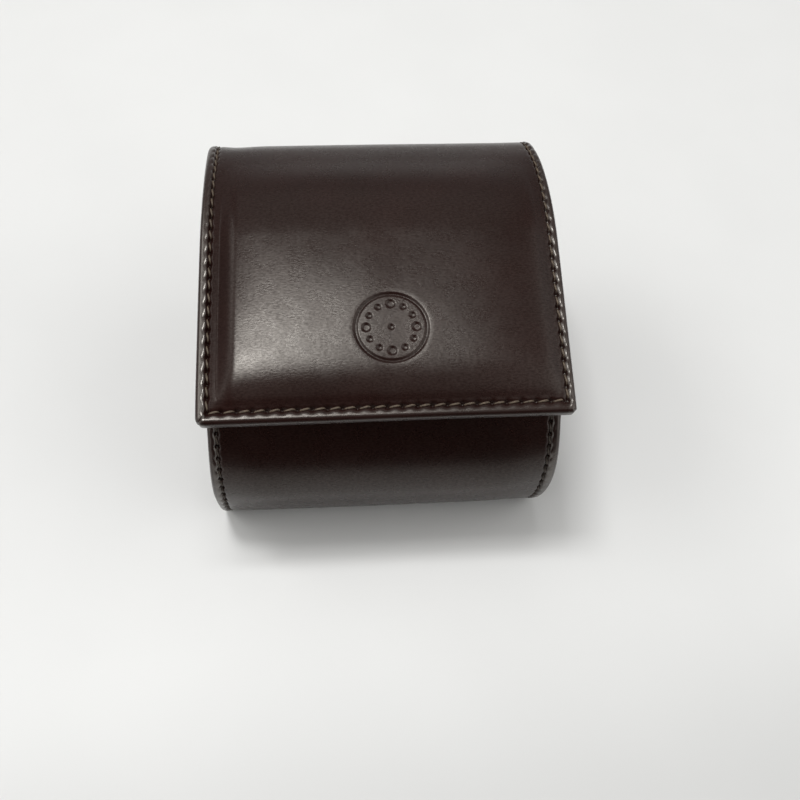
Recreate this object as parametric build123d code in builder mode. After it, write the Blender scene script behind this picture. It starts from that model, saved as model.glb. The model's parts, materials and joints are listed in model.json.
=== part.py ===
from build123d import *

import os
from math import asin, atan2, cos, degrees, radians, sin

# A leather case for one watch: a stiffened leather wrap closed by two end panels, a padded
# lid that folds over from the back, and a cushion that lifts out.
# Millimetres, +Z up, front towards -Y. The origin is the middle of the footprint, on the
# surface that the case stands on.

# Overall size
case_width = 88.0
case_depth = 94.0
case_height = 73.8  # to the lid's stitched edge where it is highest
lid_overhang = 2.2  # lid's free edge in front of the belly

# Side outline, as slopes in degrees and radii at the outer surface
hinge_slope = 23.0
lid_slope = 13.5
nose_slope = 20.5
front_foot_slope = 59.5
crown_radius = 60.0
nose_radius = 80.0
shoulder_radius = 6.0
belly_radius = 27.0
low_front_radius = 50.0
front_foot_radius = 6.5
back_foot_radius = 28.0
back_radius = 20.0
shoulder_setback = 22.9  # from the lid's free edge to where the shoulder turns down
shoulder_flat = 8.5

# Wrap wall, from the outside in
wrap_skin = 1.2
wrap_board_thickness = 1.2
wrap_lining_thickness = 0.6
turned_edge = 1.2  # leather folded over the boards' edges
hinge_flex = 6.0  # board stops this far from the hinge line
lining_edge = 0.5

# Lid, from the outside in
lid_skin = 1.0
lid_turn_in = 1.0
lid_board_thickness = 0.7
lid_lining_thickness = 0.5
lid_clearance = 0.3
hinge_gap = 0.3

# Padding under the lid's leather
pad_raise = 1.1
pad_side_margin = 5.5
pad_front_margin = 8.5
pad_rear_margin = 13.0

# End panels
end_recess = 4.5
end_skin = 1.2
end_board_thickness = 1.5
end_lining_thickness = 0.6

# Stitching
stitch_pitch = 3.46
stitch_length = 2.6
stitch_inset = 2.1
thread_radius = 0.4
groove_width = 1.0
groove_depth = 0.95
thread_depth = 0.5

# Closing magnets, hidden in the lid and in the shoulder
magnet_radius = 3.0
lid_magnet_thickness = 1.4
magnet_offset = 22.0
magnet_clearance = 0.1

# Watch cushion
cushion_height = 46.0
cushion_corner = 15.0
cushion_cover_thickness = 1.0
cushion_end_thickness = 1.2
cushion_end_clearance = 0.4
cushion_seat_clearance = 0.3
cushion_hinge_clearance = 0.9
cushion_lip_clearance = 1.0


def ahead(heading):
    """Unit vector in the side plane, degrees counter-clockwise from the back."""
    return Vector(cos(radians(heading)), sin(radians(heading)))


def inward(heading):
    """Unit vector to the left of a heading, which is the inside of the outline."""
    return ahead(heading + 90)


def arc_end(start, heading, radius, turn):
    """Where a left-turning arc ends."""
    centre = start + inward(heading) * radius
    return centre - inward(heading + turn) * radius


def arc_angle(length, radius):
    return degrees(length / radius)


def shorten(moves, trim):
    """The moves without their last stretch of length trim."""
    kept = list(moves)
    while trim > 0:
        size, turn = kept.pop()
        length = size * radians(turn) if turn else size
        if length > trim:
            share = 1 - trim / length
            kept.append((size, turn * share) if turn else (size * share, 0))
        trim -= length
    return kept


def trace(start, heading, moves, depth=0.0):
    """Draws lines (length, 0) and arcs (radius, turn), moved inwards by depth."""
    point = start + inward(heading) * depth
    for size, turn in moves:
        if turn:
            point = JernArc(point, ahead(heading), size - depth, turn) @ 1
            heading += turn
        else:
            point = Line(point, point + ahead(heading) * size) @ 1
    return point


def layer(route, outer, inner):
    """A face between two depths along a route, for the sketch that is open."""
    start, heading, moves = route
    with BuildLine() as outline:
        outer_end = trace(start, heading, moves, outer)
        inner_end = trace(start, heading, moves, inner)
        Line(start + inward(heading) * outer, start + inward(heading) * inner)
        Line(outer_end, inner_end)
    make_face(outline.edges())


# Headings along the outline, which runs from the hinge over the lid, down the front, back
# along the base and up the back
hinge_heading = 180 - hinge_slope
lid_heading = 180 + lid_slope
nose_heading = 180 + nose_slope
foot_heading = 360 - front_foot_slope

lid_leather_depth = lid_skin + lid_turn_in + lid_board_thickness
lid_thickness = lid_leather_depth + lid_lining_thickness
under_lid = lid_thickness + lid_clearance
wrap_leather_depth = wrap_skin + wrap_board_thickness
wrap_wall = wrap_leather_depth + wrap_lining_thickness

# Lid outline
front_y = -case_depth / 2
back_y = case_depth / 2
hinge_point = Vector(
    back_y - back_radius * (1 - sin(radians(hinge_slope))),
    case_height - crown_radius * (1 - cos(radians(hinge_slope))),
)
crown_centre = hinge_point + inward(hinge_heading) * crown_radius
crown_turn = lid_heading - hinge_heading
crown_end = arc_end(hinge_point, hinge_heading, crown_radius, crown_turn)
nose_turn = nose_heading - lid_heading
nose_reach = crown_end - arc_end(crown_end, lid_heading, nose_radius, nose_turn)
lid_straight = (crown_end.X - nose_reach.X - front_y) / cos(radians(lid_slope))


def lid_route(hinge_inset=hinge_gap / 2, front_inset=0.0):
    """The lid's outer surface from the hinge to the free edge, cut short at its ends."""
    skipped = arc_angle(hinge_inset, crown_radius)
    heading = hinge_heading + skipped
    start = crown_centre - inward(heading) * crown_radius
    moves = [
        (crown_radius, crown_turn - skipped),
        (lid_straight, 0),
        (nose_radius, nose_turn),
    ]
    return start, heading, shorten(moves, front_inset)


# Wrap outline. The shoulder lies just under the lid, parallel to it, and the front wall
# runs straight from the shoulder's bend to the belly's.
low_front_turn = foot_heading - 270
belly_y = front_y + lid_overhang
belly_z = front_foot_radius * (1 - cos(radians(front_foot_slope))) + low_front_radius * sin(
    radians(low_front_turn)
)
belly_centre = Vector(belly_y + belly_radius, belly_z)
under_crown_end = crown_end + inward(lid_heading) * under_lid
shoulder_reach = under_crown_end.X - front_y - shoulder_setback
shoulder_start = under_crown_end + ahead(lid_heading) * (shoulder_reach / cos(radians(lid_slope)))
shoulder_centre = shoulder_start + inward(lid_heading) * shoulder_radius
to_belly = belly_centre - shoulder_centre
wall_lean = degrees(asin((belly_radius - shoulder_radius) / to_belly.length))
front_heading = degrees(atan2(to_belly.Y, to_belly.X)) % 360 - wall_lean
front_straight = to_belly.dot(ahead(front_heading))
belly_turn = 270 - front_heading
shoulder_turn = front_heading - lid_heading
lip_point = shoulder_start - ahead(lid_heading) * shoulder_flat
mouth_straight = (lip_point - under_crown_end).dot(ahead(lid_heading))
floor_front_y = (
    belly_y
    + low_front_radius * (1 - cos(radians(low_front_turn)))
    + front_foot_radius * sin(radians(front_foot_slope))
)
floor_flat = back_y - back_foot_radius - floor_front_y
back_turn = hinge_heading - 90
back_straight = hinge_point.Y - back_radius * cos(radians(hinge_slope)) - back_foot_radius


def wrap_route(lip_inset=0.0, hinge_inset=hinge_gap / 2):
    """The wrap's outer surface from the front lip round the base to the hinge."""
    start = lip_point + ahead(lid_heading) * lip_inset
    moves = [
        (shoulder_flat - lip_inset, 0),
        (shoulder_radius, shoulder_turn),
        (front_straight, 0),
        (belly_radius, belly_turn),
        (low_front_radius, low_front_turn),
        (front_foot_radius, front_foot_slope),
        (floor_flat, 0),
        (back_foot_radius, 90),
        (back_straight, 0),
        (back_radius, back_turn),
    ]
    return start, lid_heading, shorten(moves, hinge_inset)


def end_outline(inset=0.0):
    """An end panel's face: inside the wrap, and up to the lid across the mouth."""
    skipped = arc_angle(inset, crown_radius)
    heading = hinge_heading - skipped
    start = crown_centre - inward(heading) * crown_radius
    across_mouth = [
        (crown_radius, crown_turn + skipped),
        (mouth_straight - inset, 0),
    ]
    with BuildLine() as outline:
        mouth_end = trace(start, heading, across_mouth, under_lid + inset)
        Line(mouth_end, mouth_end + inward(lid_heading) * wrap_wall)
        wall = wrap_wall + inset
        wall_end = trace(*wrap_route(-inset, inset), wall)
        Line(wall_end, start + inward(heading) * (under_lid + inset))
    make_face(outline.edges())


def seam_places(route, x, first_gap, last_gap):
    """Places for stitches along a route at one side, their axes along the seam."""
    with BuildLine() as seam:
        trace(*route, thread_depth)
    wire = seam.wire()
    count = int((wire.length - first_gap - last_gap) / stitch_pitch)
    slack = wire.length - first_gap - last_gap - count * stitch_pitch
    places = []
    for i in range(count):
        share = (first_gap + slack / 2 + (i + 0.5) * stitch_pitch) / wire.length
        point = wire @ share
        along = wire % share
        places.append(Location(Plane(origin=(x, point.X, point.Y), z_dir=(0, along.X, along.Y))))
    return places


def row_places(point, heading):
    """Places for stitches across the case, along X, in one straight row."""
    centre = point + inward(heading) * thread_depth
    half = case_width / 2 - stitch_inset - stitch_length / 2
    count = int(2 * half / stitch_pitch) + 1
    first = -(count - 1) * stitch_pitch / 2
    return [
        Location(Plane(origin=(first + i * stitch_pitch, centre.X, centre.Y), z_dir=(1, 0, 0)))
        for i in range(count)
    ]


def save(piece, name):
    piece.part.label = name
    export_step(piece.part, f"parts/{name}.step")


os.makedirs("parts", exist_ok=True)
seam_x = case_width / 2 - stitch_inset

# Where the rows across the case lie: by the lid's free edge and by the front lip
nose_start, nose_from, nose_moves = lid_route(front_inset=stitch_inset)
with BuildLine() as nose_line:
    nose_seam = trace(nose_start, nose_from, nose_moves)
nose_seam_heading = nose_heading - arc_angle(stitch_inset, nose_radius)
lip_seam = lip_point + ahead(lid_heading) * stitch_inset

# Magnet centres, where the shoulder's flat is halfway
magnet_seat = lip_point + ahead(lid_heading) * (shoulder_flat / 2)
lid_magnet_top = magnet_seat - inward(lid_heading) * (
    lid_clearance + lid_lining_thickness + lid_magnet_thickness
)
wrap_magnet_top = magnet_seat + inward(lid_heading) * wrap_skin


def magnet_planes(top):
    """A plane at each magnet's outer face, its normal pointing into the case."""
    down = inward(lid_heading)
    return [
        Plane(origin=(x, top.X, top.Y), z_dir=(0, down.X, down.Y))
        for x in (-magnet_offset, magnet_offset)
    ]


def magnets(top, radius, thickness, mode=Mode.ADD):
    for plane in magnet_planes(top):
        with BuildSketch(plane) as disc:
            Circle(radius)
        extrude(disc.sketch, amount=thickness, mode=mode)


# Wrap: leather, board and lining
with BuildPart() as wrap_leather:
    with BuildSketch(Plane.YZ):
        layer(wrap_route(), 0, wrap_leather_depth)
    extrude(amount=case_width / 2, both=True)
    with BuildSketch(Plane.YZ):
        layer(wrap_route(turned_edge, hinge_flex), wrap_skin, wrap_leather_depth)
    extrude(amount=case_width / 2 - turned_edge, both=True, mode=Mode.SUBTRACT)
    for side in (-1, 1):
        with BuildSketch(Plane.YZ.offset(side * seam_x)):
            layer(wrap_route(), 0, groove_depth)
        extrude(amount=groove_width / 2, both=True, mode=Mode.SUBTRACT)
    with BuildSketch(Plane.YZ):
        with Locations(lip_seam + inward(lid_heading) * (groove_depth / 2)):
            Rectangle(groove_width, groove_depth, rotation=lid_slope)
    extrude(amount=seam_x, both=True, mode=Mode.SUBTRACT)
save(wrap_leather, "wrap_leather")

with BuildPart() as wrap_board:
    with BuildSketch(Plane.YZ):
        layer(wrap_route(turned_edge, hinge_flex), wrap_skin, wrap_leather_depth)
    extrude(amount=case_width / 2 - turned_edge, both=True)
    magnets(
        wrap_magnet_top, magnet_radius + magnet_clearance, wrap_board_thickness, Mode.SUBTRACT
    )
save(wrap_board, "wrap_board")

with BuildPart() as wrap_lining:
    with BuildSketch(Plane.YZ):
        layer(wrap_route(), wrap_leather_depth, wrap_wall)
    extrude(amount=case_width / 2 - lining_edge, both=True)
save(wrap_lining, "wrap_lining")

with BuildPart() as wrap_magnets:
    magnets(wrap_magnet_top, magnet_radius, wrap_board_thickness)
save(wrap_magnets, "wrap_magnets")

lip_places = row_places(lip_seam, lid_heading)
with BuildPart() as lip_stitching:
    with Locations(*lip_places):
        Cylinder(thread_radius, stitch_length)
save(lip_stitching, "lip_stitching")

# End panels, set back inside the wrap: a leather tray, a board and a lining
board_x = case_width / 2 - end_recess - end_skin
end_lining_x = board_x - end_board_thickness
inner_x = end_lining_x - end_lining_thickness
for side, sign in (("left", -1), ("right", 1)):
    with BuildPart() as end_leather:
        with BuildSketch(Plane.YZ.offset(sign * board_x)):
            end_outline()
        extrude(amount=sign * (end_skin + end_recess))
        with BuildSketch(Plane.YZ.offset(sign * (board_x + end_skin))):
            end_outline(end_skin)
        extrude(amount=sign * end_recess, mode=Mode.SUBTRACT)
    save(end_leather, f"{side}_end_leather")

    with BuildPart() as end_board:
        with BuildSketch(Plane.YZ.offset(sign * end_lining_x)):
            end_outline()
        extrude(amount=sign * end_board_thickness)
    save(end_board, f"{side}_end_board")

    with BuildPart() as end_lining:
        with BuildSketch(Plane.YZ.offset(sign * inner_x)):
            end_outline()
        extrude(amount=sign * end_lining_thickness)
    save(end_lining, f"{side}_end_lining")

    wrap_places = seam_places(wrap_route(), sign * seam_x, stitch_inset, stitch_inset)
    with BuildPart() as wrap_stitching:
        with Locations(*wrap_places):
            Cylinder(thread_radius, stitch_length)
    save(wrap_stitching, f"wrap_{side}_stitching")

    lid_places = seam_places(lid_route(), sign * seam_x, stitch_inset, stitch_inset)
    with BuildPart() as lid_side_stitching:
        with Locations(*lid_places):
            Cylinder(thread_radius, stitch_length)
    save(lid_side_stitching, f"lid_{side}_stitching")

# Lid
pad_route = lid_route(pad_rear_margin, pad_front_margin)
pad_half = case_width / 2 - pad_side_margin
lid_board_top = lid_skin + lid_turn_in

with BuildPart() as lid_leather:
    with BuildSketch(Plane.YZ):
        layer(lid_route(), 0, lid_leather_depth)
    extrude(amount=case_width / 2, both=True)
    with BuildSketch(Plane.YZ):
        layer(pad_route, -pad_raise, lid_board_top)
    extrude(amount=pad_half, both=True)
    with BuildSketch(Plane.YZ):
        layer(lid_route(hinge_flex, turned_edge), lid_board_top, lid_leather_depth)
    extrude(amount=case_width / 2 - turned_edge, both=True, mode=Mode.SUBTRACT)
    with BuildSketch(Plane.YZ):
        layer(
            lid_route(pad_rear_margin + lid_skin, pad_front_margin + lid_skin),
            lid_skin - pad_raise,
            lid_board_top,
        )
    extrude(amount=pad_half - lid_skin, both=True, mode=Mode.SUBTRACT)
    for side in (-1, 1):
        with BuildSketch(Plane.YZ.offset(side * seam_x)):
            layer(lid_route(), 0, groove_depth)
        extrude(amount=groove_width / 2, both=True, mode=Mode.SUBTRACT)
    with BuildSketch(Plane.YZ):
        with Locations(nose_seam + inward(nose_seam_heading) * (groove_depth / 2)):
            Rectangle(groove_width, groove_depth, rotation=nose_seam_heading)
    extrude(amount=seam_x, both=True, mode=Mode.SUBTRACT)
save(lid_leather, "lid_leather")

with BuildPart() as lid_padding:
    with BuildSketch(Plane.YZ):
        layer(
            lid_route(pad_rear_margin + lid_skin, pad_front_margin + lid_skin),
            lid_skin - pad_raise,
            lid_board_top,
        )
    extrude(amount=pad_half - lid_skin, both=True)
    magnets(
        lid_magnet_top, magnet_radius + magnet_clearance, lid_magnet_thickness, Mode.SUBTRACT
    )
save(lid_padding, "lid_padding")

with BuildPart() as lid_board:
    with BuildSketch(Plane.YZ):
        layer(lid_route(hinge_flex, turned_edge), lid_board_top, lid_leather_depth)
    extrude(amount=case_width / 2 - turned_edge, both=True)
    magnets(
        lid_magnet_top, magnet_radius + magnet_clearance, lid_magnet_thickness, Mode.SUBTRACT
    )
save(lid_board, "lid_board")

with BuildPart() as lid_lining:
    with BuildSketch(Plane.YZ):
        layer(lid_route(front_inset=lining_edge), lid_leather_depth, lid_thickness)
    extrude(amount=case_width / 2 - lining_edge, both=True)
save(lid_lining, "lid_lining")

with BuildPart() as lid_magnets:
    magnets(lid_magnet_top, magnet_radius, lid_magnet_thickness)
save(lid_magnets, "lid_magnets")

nose_places = row_places(nose_seam, nose_seam_heading)
with BuildPart() as lid_front_stitching:
    with Locations(*nose_places):
        Cylinder(thread_radius, stitch_length)
save(lid_front_stitching, "lid_front_stitching")

# Cushion, which fills the mouth from lip to hinge and stands on the wrap's lining
lip_back = lip_point + inward(lid_heading) * wrap_wall
cushion_front = lip_back.X + cushion_lip_clearance
cushion_back = hinge_point.X - lid_thickness - cushion_hinge_clearance
cushion_width = cushion_back - cushion_front
cushion_middle = (
    (cushion_front + cushion_back) / 2,
    wrap_wall + cushion_seat_clearance + cushion_height / 2,
)
cushion_half = inner_x - cushion_end_clearance
core_half = cushion_half - cushion_end_thickness


def cushion_face(inset=0.0, mode=Mode.ADD):
    with Locations(cushion_middle):
        RectangleRounded(
            cushion_width - 2 * inset,
            cushion_height - 2 * inset,
            cushion_corner - inset,
            mode=mode,
        )


with BuildPart() as cushion_cover:
    with BuildSketch(Plane.YZ):
        cushion_face()
        cushion_face(cushion_cover_thickness, Mode.SUBTRACT)
    extrude(amount=core_half, both=True)
save(cushion_cover, "cushion_cover")

with BuildPart() as cushion_core:
    with BuildSketch(Plane.YZ):
        cushion_face(cushion_cover_thickness)
    extrude(amount=core_half, both=True)
save(cushion_core, "cushion_core")

for side, sign in (("left", -1), ("right", 1)):
    with BuildPart() as cushion_end:
        with BuildSketch(Plane.YZ.offset(sign * core_half)):
            cushion_face()
        extrude(amount=sign * cushion_end_thickness)
    save(cushion_end, f"cushion_{side}_end")
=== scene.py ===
import json
from math import asin, atan2, cos, pi, radians, sin

import bpy
import numpy as np
from mathutils import Matrix, Vector


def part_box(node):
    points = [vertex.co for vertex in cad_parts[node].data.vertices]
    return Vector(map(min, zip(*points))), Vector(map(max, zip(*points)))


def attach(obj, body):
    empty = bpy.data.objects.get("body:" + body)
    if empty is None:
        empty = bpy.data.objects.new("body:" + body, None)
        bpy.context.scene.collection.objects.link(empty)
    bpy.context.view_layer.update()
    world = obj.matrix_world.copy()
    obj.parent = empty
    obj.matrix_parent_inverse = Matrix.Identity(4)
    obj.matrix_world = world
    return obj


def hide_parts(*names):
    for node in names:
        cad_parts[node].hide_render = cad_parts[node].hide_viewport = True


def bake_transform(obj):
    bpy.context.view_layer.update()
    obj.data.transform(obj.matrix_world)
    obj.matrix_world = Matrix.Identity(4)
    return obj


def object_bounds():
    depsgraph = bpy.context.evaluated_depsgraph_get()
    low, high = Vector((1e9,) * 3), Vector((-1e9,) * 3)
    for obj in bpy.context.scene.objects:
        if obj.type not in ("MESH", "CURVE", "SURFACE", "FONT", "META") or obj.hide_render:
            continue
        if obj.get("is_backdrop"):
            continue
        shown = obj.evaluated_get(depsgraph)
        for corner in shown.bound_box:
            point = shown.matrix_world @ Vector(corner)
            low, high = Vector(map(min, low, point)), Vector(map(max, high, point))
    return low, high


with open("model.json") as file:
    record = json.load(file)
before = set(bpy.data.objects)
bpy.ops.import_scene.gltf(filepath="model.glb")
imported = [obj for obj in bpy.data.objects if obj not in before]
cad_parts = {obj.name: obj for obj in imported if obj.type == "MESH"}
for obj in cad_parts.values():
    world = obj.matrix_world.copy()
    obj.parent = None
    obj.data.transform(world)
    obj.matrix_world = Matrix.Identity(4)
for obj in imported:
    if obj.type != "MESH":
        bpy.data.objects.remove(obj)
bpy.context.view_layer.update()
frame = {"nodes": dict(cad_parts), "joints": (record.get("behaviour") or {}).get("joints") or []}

# A leather case for one watch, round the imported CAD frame. Lengths here are millimetres and
# angles radians, and the meshes are written in metres. +X is right, +Y back, +Z up.

MM = 0.001
UV_TO_MM = 100.0


def cad_box(node):
    """A CAD node's lowest and highest corners in millimetres."""
    return [np.array(corner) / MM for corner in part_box(node)]


# ---- side outline, as in the CAD

hinge_slope = radians(23)
lid_slope = radians(13.5)
nose_slope = radians(20.5)
front_foot_slope = radians(59.5)
crown_radius = 60.0
nose_radius = 80.0
back_radius = 20.0
back_foot_radius = 28.0
front_foot_radius = 6.5
low_front_radius = 50.0
belly_radius = 27.0
shoulder_radius = 6.0
shoulder_setback = 22.9
shoulder_flat = 8.5
lid_overhang = 2.2

lid_leather_depth = 2.7
lid_thickness = 3.2
under_lid = 3.5
wrap_leather_depth = 2.4
wrap_wall = 3.0

half_width, back_y, _ = cad_box("wrap_leather")[1]
front_y = cad_box("lid_leather")[0][1]
hinge_joint = next(joint for joint in frame["joints"] if joint["name"] == "lid_hinge")
hinge_point = np.array(hinge_joint["pos_m"][1:]) / MM


def ahead(heading):
    return np.stack([np.cos(heading), np.sin(heading)], axis=-1)


def inward(heading):
    return ahead(heading + pi / 2)


def arc_end(start, heading, radius, turn):
    return start + inward(heading) * radius - inward(heading + turn) * radius


class Outline:
    """Lines (length, 0) and left-turning arcs (radius, turn), by distance along them."""

    def __init__(self, start, heading, moves):
        starts, points, headings, bends = [0.0], [start], [heading], []
        for size, turn in moves:
            point, heading = points[-1], headings[-1]
            points.append(arc_end(point, heading, size, turn) if turn else point + ahead(heading) * size)
            starts.append(starts[-1] + (size * turn if turn else size))
            headings.append(heading + turn)
            bends.append(1 / size if turn else 0.0)
        self.starts, self.points = np.array(starts), np.array(points)
        self.headings, self.bends = np.array(headings), np.array(bends)

    def at(self, s):
        """Points (y, z) and headings at distances s, which may lie beyond the ends."""
        s = np.asarray(s, float)
        index = np.clip(np.searchsorted(self.starts, s, side="right") - 1, 0, len(self.bends) - 1)
        run = s - self.starts[index]
        bend = self.bends[index]
        heading = self.headings[index] + run * bend
        radius = 1 / np.where(bend > 0, bend, 1)
        point, start_heading = self.points[index], self.headings[index]
        curved = point + (inward(start_heading) - inward(heading)) * radius[..., None]
        straight = point + ahead(start_heading) * run[..., None]
        return np.where((bend > 0)[..., None], curved, straight), heading


hinge_heading = pi - hinge_slope
lid_heading = pi + lid_slope
nose_heading = pi + nose_slope
crown_turn = lid_heading - hinge_heading
nose_turn = nose_heading - lid_heading
crown_end = arc_end(hinge_point, hinge_heading, crown_radius, crown_turn)
nose_reach = crown_end - arc_end(crown_end, lid_heading, nose_radius, nose_turn)
lid_straight = (crown_end[0] - nose_reach[0] - front_y) / cos(lid_slope)

low_front_turn = pi / 2 - front_foot_slope
belly_y = front_y + lid_overhang
belly_z = front_foot_radius * (1 - cos(front_foot_slope)) + low_front_radius * sin(low_front_turn)
belly_centre = np.array([belly_y + belly_radius, belly_z])
under_crown_end = crown_end + inward(lid_heading) * under_lid
shoulder_reach = (under_crown_end[0] - front_y - shoulder_setback) / cos(lid_slope)
shoulder_start = under_crown_end + ahead(lid_heading) * shoulder_reach
shoulder_centre = shoulder_start + inward(lid_heading) * shoulder_radius
to_belly = belly_centre - shoulder_centre
wall_lean = asin((belly_radius - shoulder_radius) / np.linalg.norm(to_belly))
front_heading = atan2(to_belly[1], to_belly[0]) % (2 * pi) - wall_lean
front_straight = to_belly @ ahead(front_heading)
belly_turn = 1.5 * pi - front_heading
shoulder_turn = front_heading - lid_heading
lip_point = shoulder_start - ahead(lid_heading) * shoulder_flat
floor_front_y = (
    belly_y
    + low_front_radius * (1 - cos(low_front_turn))
    + front_foot_radius * sin(front_foot_slope)
)
floor_flat = back_y - back_foot_radius - floor_front_y
back_straight = hinge_point[1] - back_radius * cos(hinge_slope) - back_foot_radius

# From the front lip down the front, back along the base and up the back to the hinge
wrap_moves = [
    (shoulder_flat, 0),
    (shoulder_radius, shoulder_turn),
    (front_straight, 0),
    (belly_radius, belly_turn),
    (low_front_radius, low_front_turn),
    (front_foot_radius, front_foot_slope),
    (floor_flat, 0),
    (back_foot_radius, pi / 2),
    (back_straight, 0),
    (back_radius, hinge_heading - pi / 2),
]
lid_moves = [(crown_radius, crown_turn), (lid_straight, 0), (nose_radius, nose_turn)]
wrap_line = Outline(lip_point, lid_heading, wrap_moves)
# The whole leather, from the lip round to the lid's free edge. The hinge is at 0.
crown_length = crown_radius * crown_turn
lid_length = crown_length + lid_straight + nose_radius * nose_turn
lid_end = lid_length + 0.8  # the leather rolls over just past the board
lip_at = -wrap_line.starts[-1]
whole_line = Outline(lip_point, lid_heading, wrap_moves + lid_moves)
# Where the belly's arc ends, and where the floor's flat starts and ends
_, _, _, _, belly_end, _, floor_from, floor_to, *_ = lip_at + wrap_line.starts


def place(x, s, depth):
    """Points at x, distance s from the hinge along the leather and depth into the case."""
    point, heading = whole_line.at(s - lip_at)
    point = point + inward(heading) * np.asarray(depth, float)[..., None]
    return np.stack([np.broadcast_to(x, point.shape[:-1]), point[..., 0], point[..., 1]], axis=-1)


# ---- mesh helpers


def smooth(value, low, high):
    """0 at low, 1 at high, and a smooth step between."""
    t = np.clip((value - low) / (high - low), 0, 1)
    return t * t * (3 - 2 * t)


def bump(value, centre, width):
    return np.exp(-(((value - centre) / width) ** 2))


def mixed(a, b, share):
    """a where share is 0 and b where it is 1."""
    return a + (b - a) * share


def soft_min(a, b, k):
    """The smaller of the two, with a round corner about k wide."""
    return -k * np.logaddexp(-a / k, -b / k)


def quarter_round(edge, radius):
    """0 to 1 in a quarter of a circle, over that distance from an edge."""
    return np.sqrt(np.clip(1 - (1 - np.clip(edge / radius, 0, 1)) ** 2, 0, 1))


def steps(*stops):
    """Distances from stop to stop, as (position, spacing up to the next stop)."""
    values = [stops[0][0]]
    for (start, spacing), (end, _) in zip(stops, stops[1:]):
        count = max(1, round(abs(end - start) / spacing))
        values += [start + (end - start) * (i + 1) / count for i in range(count)]
    return np.array(values)


def framed(low, high, band, fine, coarse):
    """Distances from low to high with a fine spacing in a band at both ends."""
    return steps((low, fine), (low + band, coarse), (high - band, fine), (high, fine))


def surface_grid(across, along):
    """A grid of distances across and along a skin, and its surface coordinates."""
    columns, rows = np.meshgrid(across, along)
    return columns, rows, np.stack([columns, rows], axis=-1)


def from_rim(columns, rows):
    """How far the points of a grid lie in from its rim."""
    return np.minimum(columns.max() - np.abs(columns), np.minimum(rows - rows.min(), rows.max() - rows))


def add_object(name, data):
    obj = bpy.data.objects.new(name, data)
    bpy.context.scene.collection.objects.link(obj)
    return obj


def add_mesh(name, points, faces, material, uvs=None):
    """An object with smooth faces, from points and surface coordinates in millimetres."""
    mesh = bpy.data.meshes.new(name)
    mesh.from_pydata((np.asarray(points).reshape(-1, 3) * MM).tolist(), [], faces)
    mesh.polygons.foreach_set("use_smooth", [True] * len(mesh.polygons))
    if uvs is not None:
        corners = np.empty(len(mesh.loops), int)
        mesh.loops.foreach_get("vertex_index", corners)
        layer = mesh.uv_layers.new(name="surface")
        uvs = np.asarray(uvs, float).reshape(-1, 2) / UV_TO_MM
        layer.uv.foreach_set("vector", uvs[corners].ravel())
    mesh.update()
    mesh.materials.append(material)
    return add_object(name, mesh)


def grid_faces(rows, columns, flip=False, wrap=False):
    """Quads of a grid of rows by columns of points. wrap joins the last column to the first."""
    numbers = np.arange(rows * columns).reshape(rows, columns)
    if wrap:
        numbers = np.hstack([numbers, numbers[:, :1]])
    near, far = numbers[:-1], numbers[1:]
    quads = np.stack([near[:, :-1], near[:, 1:], far[:, 1:], far[:, :-1]], axis=-1).reshape(-1, 4)
    return (quads[:, ::-1] if flip else quads).tolist()


def closed_sheet(name, upper, lower, material, uvs=None):
    """One mesh of two like grids of points, joined round their rims."""
    rows, columns = upper.shape[:2]
    size = rows * columns
    numbers = np.arange(size).reshape(rows, columns)
    rim = np.concatenate([numbers[0], numbers[1:, -1], numbers[-1, -2::-1], numbers[-2:0:-1, 0]]).tolist()
    faces = grid_faces(rows, columns)
    faces += [[size + k for k in face[::-1]] for face in faces]
    faces += [[b, a, size + a, size + b] for a, b in zip(rim, rim[1:] + rim[:1])]
    points = np.concatenate([upper.reshape(-1, 3), lower.reshape(-1, 3)])
    return add_mesh(name, points, faces, material, uvs)


def evenly(loop, count):
    """Count points (y, z) evenly spaced round a loop whose last point is its first."""
    run = np.concatenate([[0], np.cumsum(np.linalg.norm(np.diff(loop, axis=0), axis=1))])
    even = np.linspace(0, run[-1], count, endpoint=False)
    return np.stack([np.interp(even, run, loop[:, k]) for k in (0, 1)], axis=1)


def unit_rows(vectors):
    return vectors / np.linalg.norm(vectors, axis=1)[:, None]


# ---- materials


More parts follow.
